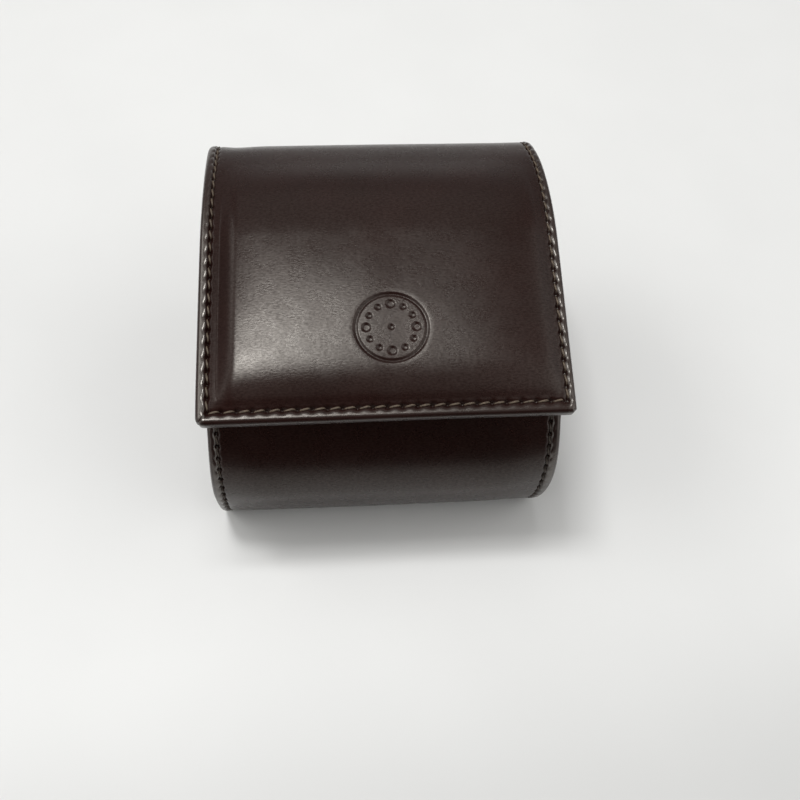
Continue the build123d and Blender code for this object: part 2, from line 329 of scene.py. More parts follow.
class Nodes:
    """The node tree of a material or a world, with short calls for the nodes used here."""

    def __init__(self, owner):
        owner.use_nodes = True
        self.tree = owner.node_tree

    def add(self, kind, **values):
        node = self.tree.nodes.new(kind)
        for key, value in values.items():
            if hasattr(node, key):
                setattr(node, key, value)
            else:
                self.feed(node.inputs[key.replace("_", " ")], value)
        return node

    def feed(self, socket, value):
        if isinstance(value, bpy.types.NodeSocket):
            self.tree.links.new(value, socket)
        else:
            socket.default_value = value

    def math(self, operation, a, b=0.0, c=0.0):
        node = self.add("ShaderNodeMath", operation=operation)
        for socket, value in zip(node.inputs, (a, b, c)):
            self.feed(socket, value)
        return node.outputs[0]

    def scaled(self, coordinates, x, y, z=1.0):
        node = self.add("ShaderNodeVectorMath", operation="MULTIPLY")
        self.feed(node.inputs[0], coordinates)
        node.inputs[1].default_value = (x, y, z)
        return node.outputs[0]

    def parts(self, coordinates):
        return self.add("ShaderNodeSeparateXYZ", Vector=coordinates).outputs

    def noise(self, coordinates, scale, detail=2.0, roughness=0.5, distortion=0.0):
        values = dict(Scale=scale, Detail=detail, Roughness=roughness, Distortion=distortion)
        return self.add("ShaderNodeTexNoise", Vector=coordinates, **values).outputs[0]

    def mix(self, factor, a, b):
        return self.add("ShaderNodeMix", data_type="RGBA", Factor=factor, A=a, B=b).outputs["Result"]

    def range(self, value, low, high, to_low=0.0, to_high=1.0):
        node = self.add("ShaderNodeMapRange", interpolation_type="SMOOTHSTEP")
        for socket, number in zip(node.inputs, (value, low, high, to_low, to_high)):
            self.feed(socket, number)
        return node.outputs[0]


class Material(Nodes):
    """A new material with one shader."""

    def __init__(self, name):
        self.material = bpy.data.materials.new(name)
        super().__init__(self.material)
        self.shader = self.tree.nodes["Principled BSDF"]

    def set(self, **values):
        for key, value in values.items():
            self.feed(self.shader.inputs[key.replace("_", " ")], value)

    def surface(self):
        """Coordinates along the material's own surface, in millimetres."""
        uv = self.add("ShaderNodeUVMap", uv_map="surface")
        return self.scaled(uv.outputs[0], UV_TO_MM, UV_TO_MM)

    def solid(self):
        """Coordinates in the object's space, in millimetres."""
        return self.scaled(self.add("ShaderNodeTexCoord").outputs["Object"], 1 / MM, 1 / MM, 1 / MM)

    def relief(self, height, distance, strength, under=None):
        """A bump of that height field, whose distance is in millimetres."""
        node = self.add("ShaderNodeBump", Strength=strength, Distance=distance * MM, Height=height)
        if under is not None:
            self.feed(node.inputs["Normal"], under)
        return node.outputs[0]

    def grained(self, pattern, low, high, dark, light, roughness, depth, strength):
        """Two colours and a bump, all from one pattern."""
        self.set(Base_Color=self.mix(self.range(pattern, low, high), dark, light), Roughness=roughness)
        self.set(Normal=self.relief(pattern, depth, strength))
        return self.material


def leather_material(name):
    m = Material(name)
    place_on = m.surface()
    stretched = m.scaled(place_on, 0.7, 1.6)
    wrinkles = m.noise(stretched, 1.7, detail=3.0, roughness=0.6, distortion=0.4)
    creases = m.range(wrinkles, 0.32, 0.66)
    drift = m.noise(place_on, 0.045, detail=2.0)
    cloud = m.noise(place_on, 0.22, detail=3.0)
    colour = m.mix(m.range(drift, 0.35, 0.65), (0.0150, 0.0056, 0.0045, 1), (0.0185, 0.0069, 0.0056, 1))
    colour = m.mix(m.range(creases, 0.0, 1.0, 0.45, 0.0), colour, (0.0095, 0.0040, 0.0032, 1))
    m.set(Base_Color=colour, Roughness=m.math("MULTIPLY_ADD", m.range(cloud, 0.3, 0.7), 0.04, 0.26))
    under = m.relief(cloud, 0.09, 0.35)
    m.set(Normal=m.relief(wrinkles, 0.048, 0.5, under), Specular_Tint=(1.0, 0.955, 0.88, 1))
    shine = m.math("MULTIPLY_ADD", creases, 0.20, 0.25)
    across, along, _ = m.parts(place_on)
    # Painted shade: less shine beside the lid's left seam; and more shine on the polished rims outside the
    # seams.
    m.set(Specular_IOR_Level=polished_rim(m, across, along, painted_shade_margin(m, across, along, shine)))
    return m.material


def painted_shade_margin(m, across, along, shine):
    """Less shine in a band beside the lid's left seam only: painted shade, to match its dark margin, which
    is dark from how the light falls.
    """
    painted_dark_share = m.range(across, painted_shade_gone - half_width, painted_shade_full - half_width)
    painted_dark_share = m.math("MULTIPLY", painted_dark_share, m.range(along, 12.0, 42.0))
    return m.math("MULTIPLY", shine, m.math("MULTIPLY_ADD", painted_dark_share, -0.6, 1.0))


def polished_rim(m, across, along, shine):
    """More shine outside the seams, where the leather is polished."""
    side = m.range(m.math("ABSOLUTE", across), half_width - 2.5, half_width - 1.9)
    turned_side = m.range(m.math("ABSOLUTE", across), half_width - 0.3, half_width - 0.9)
    side = m.math("MINIMUM", side, turned_side)
    front = m.range(along, lid_end - 2.4, lid_end - 1.8, 0.0, 0.45)
    front = m.math("MINIMUM", front, m.range(along, lid_end + 0.5, lid_end))
    return m.math("MAXIMUM", shine, m.math("MAXIMUM", side, front))


def suede_material(name, light, dark):
    m = Material(name)
    space = m.solid()
    nap = m.noise(space, 2.4, detail=4.0, roughness=0.65)
    brushed = m.noise(m.scaled(space, 0.10, 0.22, 0.22), 0.9, detail=2.0)
    colour = m.mix(m.range(nap, 0.3, 0.7), dark, light)
    colour = m.mix(m.range(brushed, 0.4, 0.65, 0.0, 0.35), colour, light)
    m.set(Base_Color=colour, Roughness=0.95, Specular_IOR_Level=0.2)
    m.set(Sheen_Weight=0.35, Sheen_Roughness=0.5, Normal=m.relief(nap, 0.12, 0.7))
    return m.material


def thread_material(name, light, dark):
    m = Material(name)
    fibre = m.noise(m.scaled(m.surface(), 9.0, 1.2), 1.0, detail=3.0)
    return m.grained(fibre, 0.3, 0.7, dark, light, 0.62, 0.05, 0.6)


def board_material(name):
    m = Material(name)
    flecks = m.noise(m.solid(), 1.6, detail=5.0, roughness=0.7)
    return m.grained(flecks, 0.35, 0.7, (0.30, 0.26, 0.20, 1), (0.46, 0.41, 0.32, 1), 0.85, 0.08, 0.5)


def foam_material(name):
    m = Material(name)
    holes = m.add("ShaderNodeTexVoronoi", Vector=m.solid(), Scale=1.8).outputs["Distance"]
    return m.grained(holes, 0.1, 0.5, (0.55, 0.52, 0.42, 1), (0.78, 0.75, 0.64, 1), 0.9, 0.2, 0.6)


def magnet_material(name):
    m = Material(name)
    stains = m.noise(m.solid(), 0.5, detail=4.0)
    colour = m.mix(m.range(stains, 0.35, 0.7), (0.42, 0.42, 0.41, 1), (0.60, 0.60, 0.59, 1))
    m.set(Base_Color=colour, Metallic=1.0, Roughness=m.math("MULTIPLY_ADD", stains, 0.2, 0.18))
    return m.material


def floor_material(name):
    """White, with a painted shadow that makes it darker towards the camera's side, where the camera holder's
    shadow falls.
    """
    m = Material(name)
    space = m.solid()
    grain = m.noise(space, 0.02, detail=2.0)
    colour = m.mix(m.range(grain, 0.3, 0.7), (0.765, 0.765, 0.757, 1), (0.78, 0.78, 0.772, 1))
    across, back, _ = m.parts(space)
    in_front = m.math("MULTIPLY_ADD", across, 0.12, m.math("MULTIPLY", back, -1.0))
    # Painted shadow: the floor is mixed towards grey from 70 to 140 mm in front of the case.
    painted_shadow = m.range(in_front, 70.0, 140.0, 0.0, 0.45)
    colour = m.mix(painted_shadow, colour, (0.40, 0.40, 0.395, 1))
    m.set(Base_Color=colour, Roughness=0.55, Specular_IOR_Level=0.3)
    return m.material


# The band of painted shade beside the lid's left seam: less shine from the lid's left edge in to these two
# distances, where it is full and where it is gone.
painted_shade_full = 7.8  # from the lid's left edge, it is dull up to here
painted_shade_gone = 9.4
leather = leather_material("leather")
suede = suede_material("suede", (0.46, 0.36, 0.255, 1), (0.33, 0.25, 0.17, 1))
cushion_suede = suede_material("cushion_suede", (0.47, 0.37, 0.265, 1), (0.34, 0.26, 0.18, 1))
thread = thread_material("thread", (0.145, 0.105, 0.070, 1), (0.036, 0.025, 0.017, 1))
# A darker copy of the same thread for the wrap's and the lip's rows: painted shade, as those rows lie in
# shade.
thread_painted_shade = thread_material("thread_painted_shade", (0.060, 0.042, 0.028, 1), (0.018, 0.012, 0.008, 1))
board = board_material("fibre_board")
foam = foam_material("foam")
magnet = magnet_material("nickel")

# ---- leather skins

edge_radius = 1.0  # over the upper corner of a turned edge
under_radius = 0.45  # and over its lower one
lid_edge = 3.1  # how thick the lid and the wrap look at their turned edges
wrap_edge = 2.85
left_corner = 2.0  # the radii of the lid's two free corners
right_corner = 1.2
strip_end = -6.0  # the lid's leather runs on down the back to here
bend_half = 5.0  # the hinge bends over this much leather on each side
turn_under = 0.9

lip_inset = 2.1  # of each row of stitches from its edge, as on the photographed case
front_inset = 3.0
lid_left_inset = 2.6
lid_right_inset = 2.0
wrap_left_inset = 2.2
wrap_right_inset = 2.65
stitch_pitch = 3.46
seam_depth = 0.42
hole_depth = 0.8
hole_radius = 0.52
seam_zone = 4.2  # the side and front seams are told apart up to here from the edges
near_corner = (1.4, 2.6)  # and fade into each other between these distances

pad_height = 1.75
pad_crown = 1.9
pad_ridge = 0.15  # how fast the margin inside the seam rises
pad_foot = 0.9
pad_margin = 4.9  # where the gentle crown of the padding starts
pad_left_foot = 2.1  # beyond the seam, where the slope starts
pad_right_foot = 1.1
pad_left_run = 3.9
pad_right_run = 3.6
pad_front_run = 12.5
pad_back = 8.0
pad_back_run = 30.0

emblem_x = 1.6
emblem_y = -27.0
emblem_radius = 8.4
dot_ring = 5.9
ring_width = 1.0
quarter_dot = 1.15  # the radius of every third dot, then of the others and the middle one
hour_dot = 0.8
centre_dot = 0.75
emblem_depth = 0.34


def skew(s):
    """How far the lid's leather is drawn sideways, as it is on the photographed case."""
    return 0.25 - 0.9 * smooth(s, 0, lid_length)


def wrap_skew(s):
    """The wrap's leather follows that of the lid near the hinge."""
    return skew(strip_end) * smooth(s, strip_end - 40, strip_end)


def right_swell(x, s):
    """The lid's right edge bows out a little."""
    return 0.5 * np.clip(x / half_width, 0, 1) * smooth(s, -8, 12) * (1 - 0.4 * smooth(s, 60, lid_length))


def side_seam(x, s):
    """How far in from its edge the row of stitches on x's side runs."""
    on_lid = smooth(s, -45, 5)
    left = mixed(wrap_left_inset, lid_left_inset, on_lid)
    right = mixed(wrap_right_inset, lid_right_inset, on_lid)
    return np.where(x < 0, left, right)


def ripple(s, x, scale, seed):
    """Slow unevenness of hand-drawn leather, about -1 to 1."""
    return (
        np.sin(s * 0.131 * scale + 1.7 * seed + 0.05 * x * scale)
        + np.sin(s * 0.213 * scale - 0.117 * x * scale + 2.9 * seed)
        + np.sin(x * 0.171 * scale + 0.8 * seed + 0.031 * s * scale)
    ) / 3


def rolled(across, over_end, edge, height):
    """Points of a leather skin whose sides, and one end, roll under a board.

    across is the distance over the leather from its middle, over_end the distance beyond
    where the end starts to roll, edge how thick the rolled edge is and height how far the
    leather stands off the outline.
    """
    side = np.abs(across)
    over_side = np.maximum(side - roll_from, 0)
    over_end = np.maximum(over_end, 0)
    most = np.maximum(over_side, over_end)
    spread = np.hypot(over_side, over_end)
    spread = np.where(spread > 0, spread, 1)
    straight = edge - edge_radius - under_radius
    upper = np.minimum(most / edge_radius, pi / 2)
    left_over = most - pi / 2 * edge_radius
    down = np.clip(left_over, 0, straight)
    lower = np.clip((left_over - straight) / under_radius, 0, pi / 2)
    beyond = np.maximum(left_over - straight - pi / 2 * under_radius, 0)
    turn = upper + lower
    reach = edge_radius * np.sin(upper) - under_radius * (1 - np.cos(lower)) - beyond
    reach = reach + height * np.sin(turn)
    x = np.sign(across) * (np.minimum(side, roll_from) + reach * over_side / spread)
    shift = reach * over_end / spread
    depth = edge_radius * (1 - np.cos(upper)) + down + under_radius * np.sin(lower)
    return x, shift, depth - height * np.cos(turn)


def seam_relief(inset, line, run, ridge=0.16, fall=0.0):
    """The channel of one row of stitches, with its needle holes and the puckered edge.

    inset is the distance from the edge, line that of the row and run the distance along it.
    The strip outside the row swells by ridge near the edge, and by fall near the row.
    """
    phase = run / stitch_pitch
    at_hole = np.abs(phase - np.round(phase)) * stitch_pitch
    between = 0.5 - 0.5 * np.cos(2 * pi * phase)
    channel = -seam_depth * bump(inset, line, 0.48) * (0.8 + 0.2 * (1 - between))
    hole = -hole_depth * np.exp(-(at_hole**2 + (inset - line) ** 2) / hole_radius**2)
    strip = ridge * smooth(inset, 0.0, 1.0) * np.clip((line - 0.5 - inset) / 1.2, 0, 1)
    slope = fall * np.clip(inset / (line - 0.5), 0, 1) * (1 - smooth(inset, line - 0.5, line - 0.1))
    pinch = -0.12 * smooth(inset, 0.0, 0.5) * (1 - between) * bump(inset, line - 0.6, 0.6)
    return channel + hole + strip + slope + pinch


def pad_relief(x, s):
    """The padding under the lid's leather: sides that rise from the seam to a soft crest."""
    on_left = smooth(-x, -5, 5)
    run = mixed(pad_right_run, pad_left_run, on_left)
    foot = mixed(pad_right_foot, pad_left_foot, on_left)
    inside = half_width - np.abs(x) - side_seam(x, s)
    side = (inside - foot) / run
    front = (lid_end - s - front_inset - pad_foot) / pad_front_run
    side_ramp = 1.28 * (1 - (1 - 0.6 * np.clip(side, 0, 1.6)) ** 2)
    side_ramp += (1.12 * side - side_ramp) * smooth(-x, 26, 32)
    side_ramp = np.minimum(side_ramp, 1.27)
    front_ramp = 1.04 * (1 - np.clip(1 - front, 0, 1) ** 2.4)
    rise = soft_min(soft_min(side_ramp, front_ramp, 0.22), 1.0, 0.07)
    rise = (np.hypot(np.clip(rise, 0, None), 0.08) - 0.08) * 1.08
    rise = rise * smooth(s, pad_back, pad_back + pad_back_run)
    length = lid_end - 2 - front_inset
    middle = (s - 2) / length * 2 - 1
    across = np.clip(1 - np.abs(x / (half_width - pad_margin)) ** 5, 0, 1)
    crown = across * np.clip(1 - middle**2, 0, None) * smooth(s, 2, 26)
    dimple = 0.10 * ripple(s, x, 1.0, 1.0) * np.clip(rise, 0, 1)
    margin = pad_ridge * np.clip(inside, 0, foot)
    margin = margin * smooth(lid_end - s, front_inset, front_inset + 3) * smooth(s, 2, 20)
    return pad_height * rise + pad_crown * crown + margin + dimple


def emblem_relief(x, s):
    """A plain hour ring, pressed into the leather: a thin ring and twelve dots."""
    dx = x - emblem_x
    dy = s_of_y(emblem_y) - s
    r = np.hypot(dx, dy)
    hour = np.round(np.arctan2(dx, dy) / (2 * pi) * 12)
    turned = hour * 2 * pi / 12
    from_dot = np.hypot(dx - dot_ring * np.sin(turned), dy - dot_ring * np.cos(turned))
    dot_radius = np.where(np.mod(hour, 3) == 0, quarter_dot, hour_dot)
    ring = smooth(ring_width / 2 - np.abs(r - emblem_radius), 0, 0.3)
    dots = smooth(dot_radius - from_dot, 0, 0.35)
    centre = smooth(centre_dot - r, 0, 0.3)
    halo = 0.10 * smooth(emblem_radius + 1.6 - r, 0, 2.2)
    return -emblem_depth * np.maximum.reduce([ring, dots, centre]) - halo


def s_of_y(y):
    """Where on the lid's straight the leather passes over that y."""
    return crown_length + (crown_end[0] - y) / cos(lid_slope)


def lid_relief(x, s):
    """How far the lid's leather stands off the CAD outline."""
    side = half_width - np.abs(x)
    front = lid_end - s
    fall = np.where(x < 0, 0.62, 0.25)
    at_side = seam_relief(side, side_seam(x, s), s - front_s, ridge=0.0, fall=fall)
    at_front = seam_relief(front, front_inset, x, ridge=0.15)
    nearest = np.where(side < front, at_side, at_front)
    both = at_side * smooth(front, *near_corner) + at_front * smooth(side, *near_corner)
    seams = np.where((side < seam_zone) & (front < seam_zone), nearest, both)
    return seams + pad_relief(x, s) + emblem_relief(x, s) + 0.10 * ripple(s, x, 0.6, 2.0)


front_s = lid_end - front_inset  # the front seam, from which the side seams' holes count
corners = (pi / 2 - 1) * (edge_radius + under_radius)
lid_roll = corners + lid_edge + turn_under
wrap_roll = corners + wrap_edge + turn_under
roll_from = half_width - edge_radius
lid_roll_from = lid_end - edge_radius
lip_roll_from = lip_at + edge_radius
fine_band = 5.5  # the grids are fine up to here from the edges
near_side = half_width - fine_band
fine = 0.25


def across_skin(roll, *inner_stops):
    """Distances over a skin, from one side that is turned under to the other."""
    return steps(
        (-roll_from - roll, fine),
        (-roll_from, fine),
        *inner_stops,
        (near_side, fine),
        (roll_from, fine),
        (roll_from + roll, fine),
    )


across_lid = across_skin(
    lid_roll,
    (-near_side, 0.32),
    (emblem_x - emblem_radius - 1, 0.2),
    (emblem_x + emblem_radius + 1, 0.32),
)
emblem_s = s_of_y(emblem_y)
along_lid = steps(
    (strip_end, 0.35),
    (emblem_s - emblem_radius - 1, 0.2),
    (emblem_s + emblem_radius + 1, 0.32),
    (lid_end - fine_band, fine),
    (lid_roll_from, fine),
    (lid_roll_from + lid_roll, fine),
)

base_gap = 0.02  # nothing soft goes below this height
belly_out = 1.7
belly_out_s = belly_end + 4.0
belly_out_width = 18.0


def on_floor(s):
    """1 where the leather lies on the floor."""
    return smooth(s, floor_from - 4, floor_from) * (1 - smooth(s, floor_to, floor_to + 4))


def wrap_form(x, s):
    """How far the wrap's leather swells off the CAD outline, apart from its seams."""
    side = half_width - np.abs(x)
    # It sinks a little behind the hinge, most at the left corner
    sunk = smooth(s, -40, -15)
    crown = (0.35 - 0.37 * sunk) * (1 - (x / half_width) ** 2) + 0.08 * ripple(s, x, 0.5, 3.0)
    crown -= 0.45 * sunk * smooth(-x, 28, 42)
    away = np.sqrt(((s - belly_out_s) / belly_out_width) ** 2 + 0.02)
    belly = belly_out * np.clip(1.14 - away, 0, None) ** 1.15
    belly = belly * (0.3 + 0.7 * smooth(side, 0, 14))
    return (crown * smooth(side, 2, 9) + belly) * (1 - on_floor(s)) - 0.12 * on_floor(s)


def wrap_relief(x, s):
    """How far the wrap's leather stands off the CAD outline."""
    side = half_width - np.abs(x)
    fall = 0.25 * (1 - on_floor(s))
    seams = seam_relief(side, side_seam(x, s), s - front_s, ridge=0.0, fall=fall)
    return seams + wrap_form(x, s)


def round_corner(x, s):
    """Draws the lid's two free corners in to the radii they have on the photographed case."""
    radius = np.where(x < 0, left_corner, right_corner)
    a = np.abs(x) - (half_width - radius)
    b = s - (lid_end - radius)
    both = (a > 0) & (b > 0)
    spread = np.hypot(a, b)
    keep = np.where(both, np.maximum(a, b) / np.where(both, spread, 1), 1)
    new_x = np.sign(x) * (half_width - radius + a * keep)
    return np.where(both, new_x, x), np.where(both, lid_end - radius + b * keep, s)


def lid_skin_points(across, along):
    """Rolled at both sides and its free edge. Near the strip's end it meets the wrap's skin."""
    plan_x = np.clip(across, -half_width, half_width)
    height = lid_relief(plan_x, np.minimum(along, lid_end))
    fade = smooth(along, strip_end, strip_end + 8)
    height = height * fade + wrap_relief(plan_x, along) * (1 - fade)
    edge = mixed(wrap_edge, lid_edge, smooth(along, strip_end, 0))
    x, shift, depth = rolled(across, along - lid_roll_from, edge, height)
    s = np.minimum(along, lid_roll_from) + shift
    x, s = round_corner(x, s)
    points = place(x, s, depth)
    points[..., 0] += skew(s) + right_swell(x, s)
    return points


def add_skin(name, across, along, points_at):
    columns, rows, uvs = surface_grid(across, along)
    faces = grid_faces(len(along), len(across), flip=True)
    return add_mesh(name, points_at(columns, rows), faces, leather, uvs)


across_wrap = across_skin(wrap_roll, (-near_side, 1.6))
along_wrap = steps(
    (lip_roll_from - wrap_roll, 0.3),
    (lip_roll_from, 0.34),
    (strip_end, 0.34),
)


def wrap_skin_points(across, along):
    """Rolled at both sides and the front lip."""
    plan_x = np.clip(across, -half_width, half_width)
    from_lip = np.maximum(along, lip_at) - lip_at
    side = half_width - np.abs(plan_x)
    lip_seam = seam_relief(from_lip, lip_inset, plan_x) * smooth(side, *near_corner)
    height = wrap_relief(plan_x, np.maximum(along, lip_at)) + lip_seam
    x, shift, depth = rolled(across, lip_roll_from - along, wrap_edge, height)
    s = np.maximum(along, lip_roll_from) - shift
    points = place(x, s, depth)
    points[..., 0] += wrap_skew(s)
    points[..., 2] = np.maximum(points[..., 2], base_gap)
    return points


lid_skin = add_skin("lid_skin", across_lid, along_lid, lid_skin_points)
wrap_skin = add_skin("wrap_skin", across_wrap, along_wrap, wrap_skin_points)

bend_start = place(0, -bend_half, 0) * MM
bend_end = place(0, bend_half, 0) * MM
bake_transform(lid_skin)
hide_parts("lid_leather")
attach(wrap_skin, "case")
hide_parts("wrap_leather")

# ---- stitches

stitch_length = 2.75
thread_radius = 0.22
stitch_slant = 0.18  # each stitch starts nearer the edge than it ends, in radians
thread_rings = 13
thread_sides = 12


def stitch(centre, along, edgewards, outwards, index):
    """Points of one thread that comes out of a needle hole and goes into the next."""
    lean = stitch_slant + np.random.RandomState(index).uniform(-0.05, 0.05)
    direction = along * cos(lean) - edgewards * sin(lean)
    sideways = np.cross(outwards, direction)
    points, uvs = [], []
    for t in np.linspace(-1, 1, thread_rings):
        run = t * stitch_length / 2
        middle = centre + direction * run + outwards * (0.16 - 0.85 * t**4)
        for angle in np.arange(thread_sides) * 2 * pi / thread_sides:
            ply = 1 + 0.13 * cos(2 * angle - 5.5 * t)
            radius = thread_radius * (1 - 0.35 * t**4) * ply
            points.append(middle + radius * (sideways * (1.12 * cos(angle)) + outwards * sin(angle)))
            uvs.append((angle / pi, run + 5 * index))
    return points, uvs


def thread_row(name, places, material):
    """One mesh of a row of stitches. places holds each one's centre and three directions."""
    points, faces, uvs = [], [], []
    last_ring = (thread_rings - 1) * thread_sides
    one = grid_faces(thread_rings, thread_sides, wrap=True)
    one += [[*range(thread_sides)][::-1], [*range(last_ring, last_ring + thread_sides)]]
    for index, directed_place in enumerate(places):
        some_points, some_uvs = stitch(*directed_place, index)
        faces += [[len(points) + k for k in face] for face in one]
        points += some_points
        uvs += some_uvs
    points = [(x, y, max(z, base_gap)) for x, y, z in points]
    return add_mesh(name, points, faces, material, uvs)


right = np.array([1.0, 0, 0])


def directions(s):
    """Outwards from the leather at s, and forwards along it."""
    heading = whole_line.at(s - lip_at)[1]
    return np.array([0, *-inward(heading)]), np.array([0, *ahead(heading)])


def side_places(sign, s_values, surface):
    """The places of a side row. The rows are sewn round the lid from the left to the right."""
    places = []
    for s in s_values:
        outwards, forward = directions(s)
        centre = surface(sign * (half_width - side_seam(sign, s)), s)
        places.append((centre, forward * -sign, right * sign, outwards))
    return places


def cross_row(name, s, surface, edgewards, material):
    """The row across the case at s, with its edge ahead (1) or behind (-1)."""
    outwards, forward = directions(s)
    places = [(surface(x, s), right, forward * edgewards, outwards) for x in front_x]
    return thread_row(name, places, material)


def on_lid(x, s):
    point = place(x, s, seam_depth * 0.75)
    point[0] += skew(s) + right_swell(x, s)
    return point


def on_wrap(x, s):
    point = place(x, s, seam_depth * 0.75 - wrap_form(x, s))
    point[0] += wrap_skew(s)
    return point


def side_stitches(first, last):
    """The middles of a side row's stitches, from the front of the lid backwards."""
    return [first - i * stitch_pitch for i in range(int((first - last) / stitch_pitch))]


lid_side_s = side_stitches(front_s - stitch_pitch / 2, strip_end)
wrap_side_s = side_stitches(lid_side_s[-1] - stitch_pitch, lip_at + lip_inset)
front_count = round(2 * (half_width - lid_left_inset) / stitch_pitch)
front_x = (np.arange(front_count) - (front_count - 1) / 2) * stitch_pitch

for sign, side in ((-1, "left"), (1, "right")):
    row = thread_row(f"lid_{side}_thread", side_places(sign, lid_side_s, on_lid), thread)
    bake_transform(row)
    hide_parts(f"lid_{side}_stitching")
    # The wrap's rows get the thread with painted shade.
    row = thread_row(f"wrap_{side}_thread", side_places(sign, wrap_side_s, on_wrap), thread_painted_shade)
    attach(row, "case")
    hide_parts(f"wrap_{side}_stitching")

front_row = cross_row("lid_front_thread", front_s, on_lid, 1, thread)
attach(front_row, "lid")
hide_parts("lid_front_stitching")

# The lip's row gets the thread with painted shade too.
lip_row = cross_row("lip_thread", lip_at + lip_inset, on_wrap, -1, thread_painted_shade)
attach(lip_row, "case")
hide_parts("lip_stitching")

# ---- linings

lining_inset = 1.85
lining_edge = 0.35
join_at = -9.0  # the lid's lining runs on over the hinge to here


def lining_sheet(name, along, puff):
    """A sheet of suede with rounded edges, which follows the leather's depth."""
    columns, rows, uvs = surface_grid(lining_across, along)
    thin = 1 - quarter_round(from_rim(columns, rows), lining_edge)
    on_lid = smooth(rows, join_at, 0)
    outer = mixed(wrap_leather_depth, lid_leather_depth, on_lid)
    inner = mixed(wrap_wall, lid_thickness, on_lid)
    middle = (outer + inner) / 2
    upper = place(columns, rows, mixed(outer, middle, thin))
    lower = place(columns, rows, mixed(inner, middle, thin) + puff(columns, rows))
    return closed_sheet(name, upper, lower, suede, np.concatenate([uvs, uvs]))


lining_half = half_width - lining_inset
edge_band = 0.5
edge_step = 0.12
lining_across = framed(-lining_half, lining_half, edge_band, edge_step, 1.4)
magnet_radius = 3.0
magnet_low, magnet_high = cad_box("lid_magnets")
magnet_x = magnet_high[0] - magnet_radius
magnet_s = s_of_y((magnet_low[1] + magnet_high[1]) / 2)


def lid_lining_puff(x, s):
    """The cloth lies a little hollow between its glued edges and shows the magnets."""
    from_magnet = np.hypot(np.abs(x) - magnet_x, s - magnet_s)
    disc = smooth(magnet_radius + 0.4 - from_magnet, 0, 0.8)
    return 0.10 * disc + 0.06 * ripple(s, x, 0.9, 4.0) * smooth(s, join_at, join_at + 6)


lid_lining_end = lid_length - lining_inset
along_lid_lining = steps(
    (join_at, edge_step),
    (join_at + edge_band, 0.5),
    (bend_half + 2, 1.2),
    (lid_lining_end - edge_band, edge_step),
    (lid_lining_end, edge_step),
)
lid_suede = lining_sheet("lid_suede", along_lid_lining, lid_lining_puff)
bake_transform(lid_suede)
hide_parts("lid_lining")


def wrap_lining_puff(x, s):
    return 0.05 * ripple(s, x, 0.9, 5.0)


along_wrap_lining = framed(lip_at + lining_inset, join_at, edge_band, edge_step, 0.9)
wrap_suede = lining_sheet("wrap_suede", along_wrap_lining, wrap_lining_puff)
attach(wrap_suede, "case")
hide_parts("wrap_lining")

# ---- padding under the lid's leather

pad_half = cad_box("lid_padding")[1][0]
pad_from = 14.5
pad_to = lid_length - 7.5
pad_base = 2.0
pad_round = 2.5
pad_band = 3.0
leather_thickness = 1.0

columns, rows = np.meshgrid(
    framed(-pad_half, pad_half, pad_band, 0.3, 1.5), framed(pad_from, pad_to, pad_band, 0.3, 1.5)
)
under_leather = leather_thickness + 0.2 - pad_relief(columns, rows) + emblem_depth * 1.4
under_leather = np.minimum(under_leather, pad_base - 0.15)
pad_top = mixed(pad_base - 0.1, under_leather, quarter_round(from_rim(columns, rows), pad_round))
lid_pad = closed_sheet("lid_pad", place(columns, rows, pad_top), place(columns, rows, pad_base), foam)
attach(lid_pad, "lid")
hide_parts("lid_padding")

# ---- end panels

mouth_end = crown_length + (lip_point - under_crown_end) @ ahead(lid_heading)


def end_loop():
    """Points (y, z) round the inside of the wrap and across the mouth, evenly spaced."""
    wall = place(0, np.linspace(lip_at, 0, 400), wrap_wall)[:, 1:]
    mouth = place(0, np.linspace(0, mouth_end, 120), under_lid)[:, 1:]
    loop = evenly(np.concatenate([wall, mouth, wall[:1]]), 260)
    for _ in range(3):
        loop = loop * 0.5 + (np.roll(loop, 1, 0) + np.roll(loop, -1, 0)) * 0.25
    return loop


loop = end_loop()
loop_along = unit_rows(np.roll(loop, -1, 0) - np.roll(loop, 1, 0))
loop_inward = np.stack([-loop_along[:, 1], loop_along[:, 0]], axis=1)
loop_middle = loop.mean(axis=0)


def add_end_piece(name, sign, profile, material, relief=None):
    """A closed piece from rings (x, inset, share): the loop moved in, then drawn to its middle."""
    points, uvs = [], []
    for x, inset, share in profile:
        ring = loop_middle + (loop + loop_inward * inset - loop_middle) * share
        out = x + (relief(ring, x, share) if relief else 0)
        points.append(np.column_stack([np.broadcast_to(out * sign, len(ring)), ring]))
        uvs.append(ring + np.array([0, 0.2 * x]))
    faces = grid_faces(len(profile), len(loop), flip=sign > 0, wrap=True)
    return add_mesh(name, np.array(points), faces, material, np.array(uvs))


end_back_x = cad_box("right_end_leather")[0][0]
end_face_x = end_back_x + 1.2
end_rim_x = half_width - 0.15
rim_radius = 0.6
rim_inset = 1.2
fillet_share = 0.045


